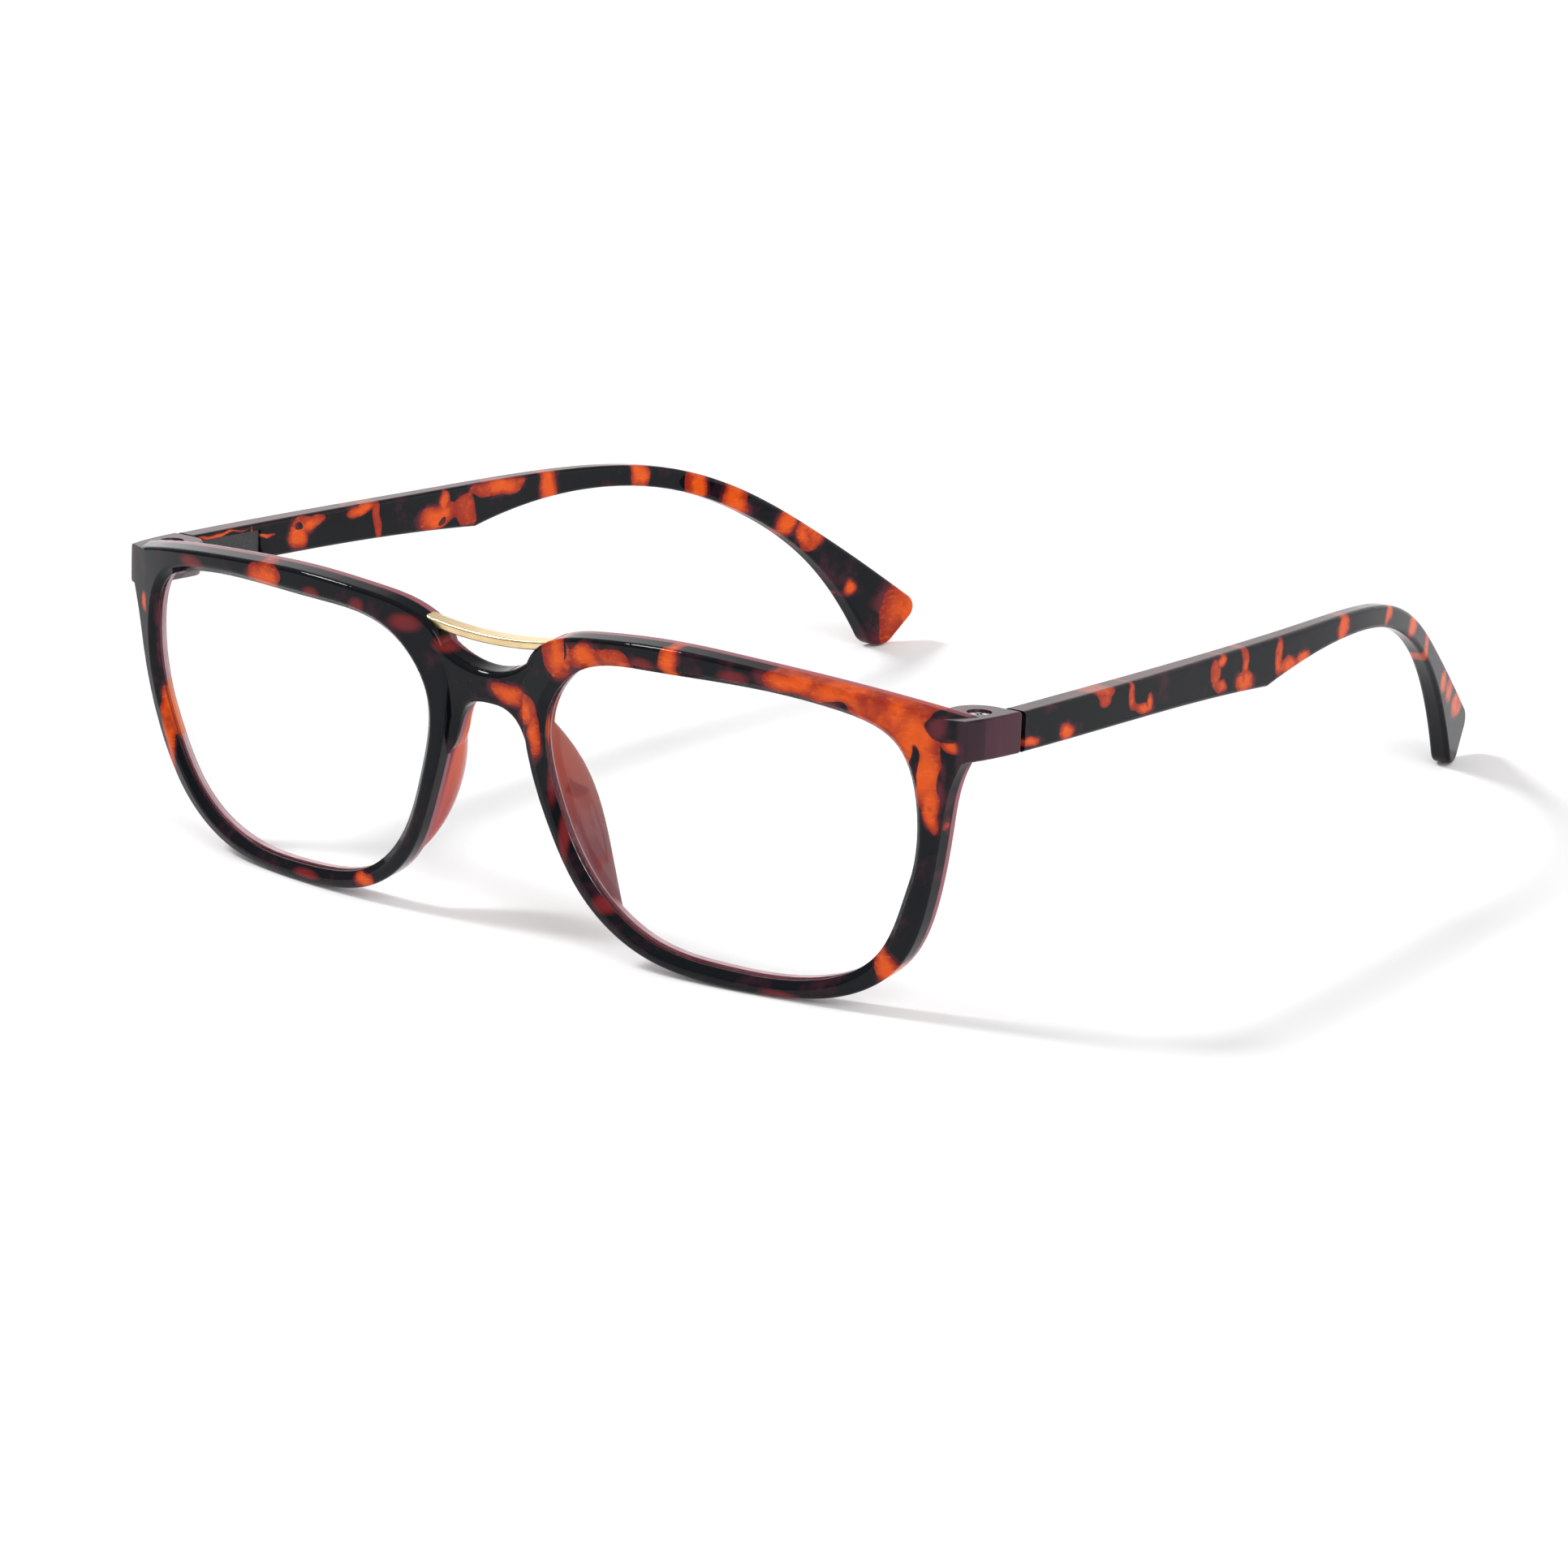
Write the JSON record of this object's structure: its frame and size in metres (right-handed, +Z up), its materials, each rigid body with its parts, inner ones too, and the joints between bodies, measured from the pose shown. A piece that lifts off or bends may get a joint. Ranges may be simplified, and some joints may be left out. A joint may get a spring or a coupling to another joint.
{
  "type": "folding reading glasses",
  "caption": "Folding reading glasses: tortoiseshell plastic front with clear lenses and a gold brow bar, and temples that fold on sprung screw hinges.",
  "frame": {"origin": "centre of the bounding box, on the plane that the rim bottoms and temple tips rest on", "axes": "+Z up, the lenses face -Y, the open temples run back along +Y, +X is the wearer's left"},
  "size_m": [0.1364, 0.1462, 0.0423],
  "materials": {
    "tortoise_front": "glossy moulded tortoiseshell plastic, near-black with orange and red-brown patches",
    "tortoise_arm": "glossy moulded tortoiseshell plastic, near-black with orange patches",
    "lens_clear": "clear polished plastic lens",
    "bar_gold": "satin gold plated wire bar",
    "screw_steel": "bright nickel plated screw",
    "hinge_steel": "plain white metal hinge eye and rod",
    "spring_steel": "drawn spring wire",
    "cover_black": "black moulded cover"
  },
  "bodies": {
    "front": {"front_frame": "tortoise_front", "lens_left": "lens_clear", "lens_right": "lens_clear", "brow_bar": "bar_gold", "hinge_screw_left": "screw_steel", "hinge_screw_right": "screw_steel"},
    "eye_left": {"hinge_eye_left": "hinge_steel", "hinge_spring_left": "spring_steel", "rod_nut_left": "hinge_steel"},
    "arm_left": {"temple_left": "tortoise_arm", "spring_cover_left": "cover_black"},
    "eye_right": {"hinge_eye_right": "hinge_steel", "hinge_spring_right": "spring_steel", "rod_nut_right": "hinge_steel"},
    "arm_right": {"temple_right": "tortoise_arm", "spring_cover_right": "cover_black"}
  },
  "joints": [
    {"name": "fold_left", "type": "hinge", "parent": "front", "child": "eye_left", "pos_m": [0.06475, -0.0584, 0.03483], "axis": [0, 0.0589, 0.9983], "range_deg": [0, 82]},
    {"name": "flex_left", "type": "slide", "parent": "eye_left", "child": "arm_left", "axis": [0, 0.9983, -0.0589], "range_m": [0, 0.001], "stiffness_N_per_m": 800, "springref_m": -0.0008, "deforming": ["hinge_spring_left"]},
    {"name": "fold_right", "type": "hinge", "parent": "front", "child": "eye_right", "pos_m": [-0.06475, -0.0584, 0.03483], "axis": [0, -0.0589, -0.9983], "range_deg": [0, 72]},
    {"name": "flex_right", "type": "slide", "parent": "eye_right", "child": "arm_right", "axis": [0, 0.9983, -0.0589], "range_m": [0, 0.001], "stiffness_N_per_m": 800, "springref_m": -0.0008, "deforming": ["hinge_spring_right"]}
  ]
}
